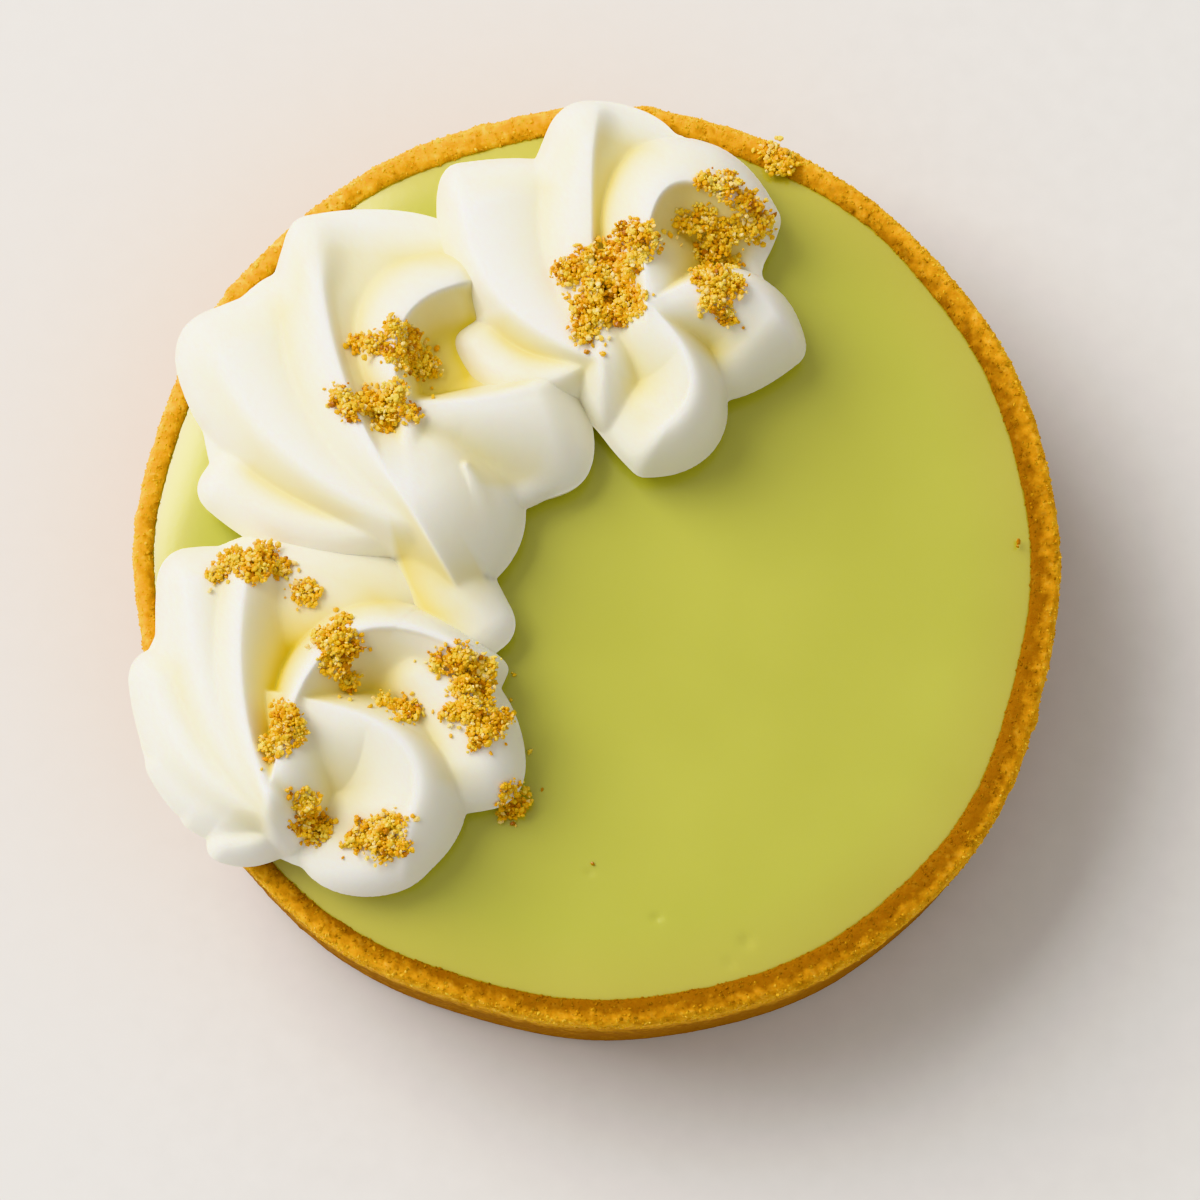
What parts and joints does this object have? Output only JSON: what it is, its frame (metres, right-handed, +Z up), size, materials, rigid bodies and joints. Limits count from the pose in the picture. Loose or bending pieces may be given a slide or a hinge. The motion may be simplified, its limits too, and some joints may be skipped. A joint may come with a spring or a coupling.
{
  "type": "key lime tart",
  "caption": "Round shortcrust tart filled to the brim with lime curd, with piped swirls of cream along one side and cookie crumbs on top.",
  "frame": {"origin": "centre of the flat underside of the crust", "axes": "+Z up; +X to the right and +Y away from the viewer as the picture shows the tart from above its front, with the cream along the left and far sides (-X and +Y)"},
  "size_m": [0.1046, 0.1057, 0.0392],
  "materials": {
    "shortcrust": "sandy baked pastry, matt",
    "lime_curd": "smooth set curd, satin",
    "whipped_cream": "piped cream, soft sheen"
  },
  "bodies": {
    "root": {"crust": "shortcrust", "curd": "lime_curd", "cream_top": "whipped_cream", "cream_middle": "whipped_cream", "cream_bottom": "whipped_cream"}
  },
  "joints": []
}
